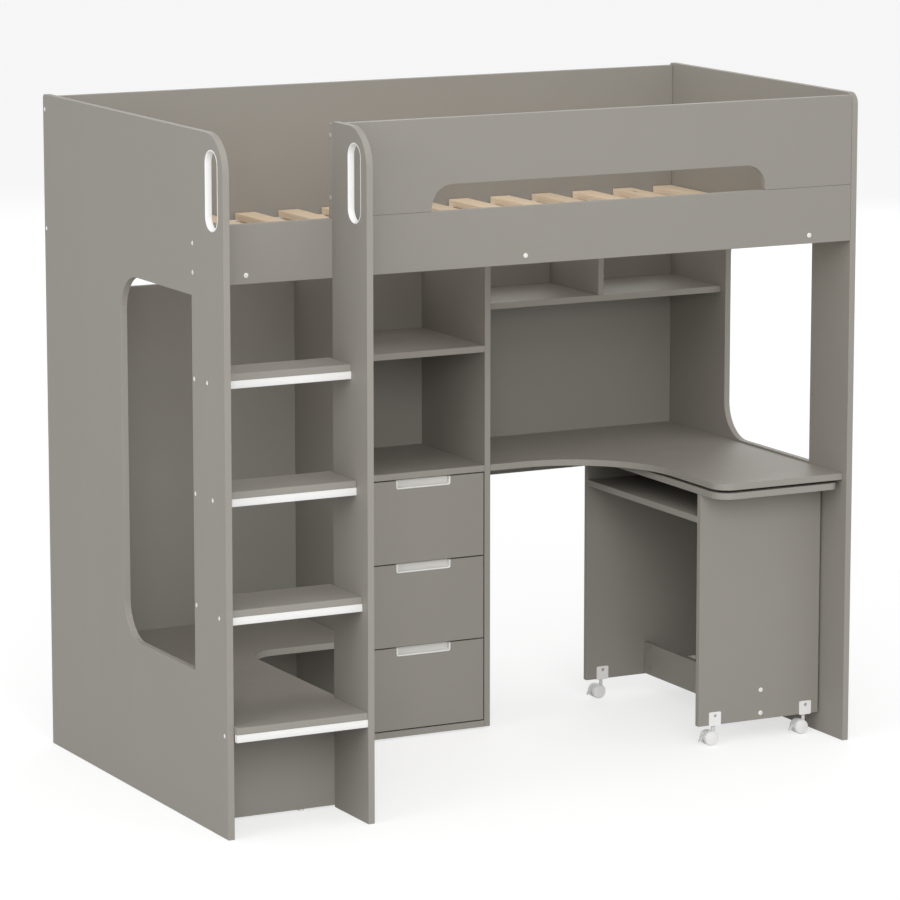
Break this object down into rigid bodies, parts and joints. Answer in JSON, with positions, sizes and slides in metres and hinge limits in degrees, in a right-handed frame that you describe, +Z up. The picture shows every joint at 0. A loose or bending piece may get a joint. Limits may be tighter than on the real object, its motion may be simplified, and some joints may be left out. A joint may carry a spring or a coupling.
{
  "type": "loft bed with desk",
  "caption": "Raised single bed on panel ends with a ladder, corner platform, chest of drawers, hutch, curved desktop and a desk that rolls out on casters.",
  "frame": {"origin": "on the floor under the middle of the outer box", "axes": "+Z up, +X along the bed from the ladder end to the desk end, -Y towards the open front"},
  "size_m": [1.9497, 1.17, 1.78],
  "materials": {
    "greige_lacquer": "matt greige lacquer on fibreboard",
    "pine": "planed and unfinished",
    "drawer_lining": "smooth light melamine",
    "white_plastic": "satin moulded plastic",
    "light_grey_plastic": "satin moulded plastic"
  },
  "bodies": {
    "frame": {"left_end_panel": "greige_lacquer", "right_end_panel": "greige_lacquer", "ladder_stile": "greige_lacquer", "grip_liner_left": "white_plastic", "grip_liner_right": "white_plastic", "front_rail": "greige_lacquer", "front_guard": "greige_lacquer", "rear_rail": "greige_lacquer", "front_ledger": "pine", "rear_ledger": "pine", "slat_base": "pine", "tread_1": "greige_lacquer", "tread_2": "greige_lacquer", "tread_3": "greige_lacquer", "tread_strip_1": "white_plastic", "tread_strip_2": "white_plastic", "tread_strip_3": "white_plastic", "tread_strip_4": "white_plastic", "corner_platform": "greige_lacquer", "kickboard": "greige_lacquer", "lower_back_panel": "greige_lacquer", "desk_back_panel": "greige_lacquer", "chest_left_side": "greige_lacquer", "chest_right_side": "greige_lacquer", "chest_shelf": "greige_lacquer", "chest_top": "greige_lacquer", "chest_bottom": "greige_lacquer", "hutch_shelf": "greige_lacquer", "hutch_divider": "greige_lacquer", "desktop": "greige_lacquer"},
    "drawer_1": {"drawer_front_1": "greige_lacquer", "drawer_pull_1": "white_plastic", "drawer_box_1": "drawer_lining"},
    "drawer_2": {"drawer_front_2": "greige_lacquer", "drawer_pull_2": "white_plastic", "drawer_box_2": "drawer_lining"},
    "drawer_3": {"drawer_front_3": "greige_lacquer", "drawer_pull_3": "white_plastic", "drawer_box_3": "drawer_lining"},
    "rolling_desk": {"rolling_desk_top": "greige_lacquer", "rolling_desk_front": "greige_lacquer", "rolling_desk_rear": "greige_lacquer", "rolling_desk_shelf": "greige_lacquer", "rolling_desk_stretcher": "greige_lacquer", "caster_saddle_1": "white_plastic", "caster_saddle_2": "white_plastic", "caster_saddle_3": "white_plastic", "caster_saddle_4": "white_plastic"},
    "caster_1": {"caster_yoke_1": "light_grey_plastic"},
    "wheels_1": {"caster_wheels_1": "white_plastic"},
    "brake_1": {"caster_brake_1": "light_grey_plastic"},
    "caster_2": {"caster_yoke_2": "light_grey_plastic"},
    "wheels_2": {"caster_wheels_2": "white_plastic"},
    "brake_2": {"caster_brake_2": "light_grey_plastic"},
    "caster_3": {"caster_yoke_3": "light_grey_plastic"},
    "wheels_3": {"caster_wheels_3": "white_plastic"},
    "brake_3": {"caster_brake_3": "light_grey_plastic"},
    "caster_4": {"caster_yoke_4": "light_grey_plastic"},
    "wheels_4": {"caster_wheels_4": "white_plastic"},
    "brake_4": {"caster_brake_4": "light_grey_plastic"}
  },
  "joints": [
    {"name": "drawer_1_slide", "type": "slide", "parent": "frame", "child": "drawer_1", "axis": [0, -1, 0], "range_m": [0, 0.28]},
    {"name": "drawer_2_slide", "type": "slide", "parent": "frame", "child": "drawer_2", "axis": [0, -1, 0], "range_m": [0, 0.28]},
    {"name": "drawer_3_slide", "type": "slide", "parent": "frame", "child": "drawer_3", "axis": [0, -1, 0], "range_m": [0, 0.28]},
    {"name": "rolling_desk_slide", "type": "slide", "parent": "frame", "child": "rolling_desk", "axis": [0, -1, 0], "range_m": [0, 0.6]},
    {"name": "caster_1_swivel", "type": "hinge", "parent": "rolling_desk", "child": "caster_1", "pos_m": [0.6215, -0.258, 0.0534], "axis": [0, 0, 1], "continuous": true},
    {"name": "caster_1_roll", "type": "hinge", "parent": "caster_1", "child": "wheels_1", "pos_m": [0.6085, -0.258, 0.02], "axis": [0, 1, 0], "continuous": true},
    {"name": "caster_1_brake", "type": "hinge", "parent": "caster_1", "child": "brake_1", "pos_m": [0.5859, -0.258, 0.024], "axis": [0, -1, 0], "range_deg": [0, 25]},
    {"name": "caster_2_swivel", "type": "hinge", "parent": "rolling_desk", "child": "caster_2", "pos_m": [0.91, -0.258, 0.0534], "axis": [0, 0, 1], "continuous": true},
    {"name": "caster_2_roll", "type": "hinge", "parent": "caster_2", "child": "wheels_2", "pos_m": [0.897, -0.258, 0.02], "axis": [0, 1, 0], "continuous": true},
    {"name": "caster_2_brake", "type": "hinge", "parent": "caster_2", "child": "brake_2", "pos_m": [0.8744, -0.258, 0.024], "axis": [0, -1, 0], "range_deg": [0, 25]},
    {"name": "caster_3_swivel", "type": "hinge", "parent": "rolling_desk", "child": "caster_3", "pos_m": [0.6215, 0.369, 0.0534], "axis": [0, 0, 1], "continuous": true},
    {"name": "caster_3_roll", "type": "hinge", "parent": "caster_3", "child": "wheels_3", "pos_m": [0.6085, 0.369, 0.02], "axis": [0, 1, 0], "continuous": true},
    {"name": "caster_3_brake", "type": "hinge", "parent": "caster_3", "child": "brake_3", "pos_m": [0.5859, 0.369, 0.024], "axis": [0, -1, 0], "range_deg": [0, 25]},
    {"name": "caster_4_swivel", "type": "hinge", "parent": "rolling_desk", "child": "caster_4", "pos_m": [0.91, 0.369, 0.0534], "axis": [0, 0, 1], "continuous": true},
    {"name": "caster_4_roll", "type": "hinge", "parent": "caster_4", "child": "wheels_4", "pos_m": [0.897, 0.369, 0.02], "axis": [0, 1, 0], "continuous": true},
    {"name": "caster_4_brake", "type": "hinge", "parent": "caster_4", "child": "brake_4", "pos_m": [0.8744, 0.369, 0.024], "axis": [0, -1, 0], "range_deg": [0, 25]}
  ]
}
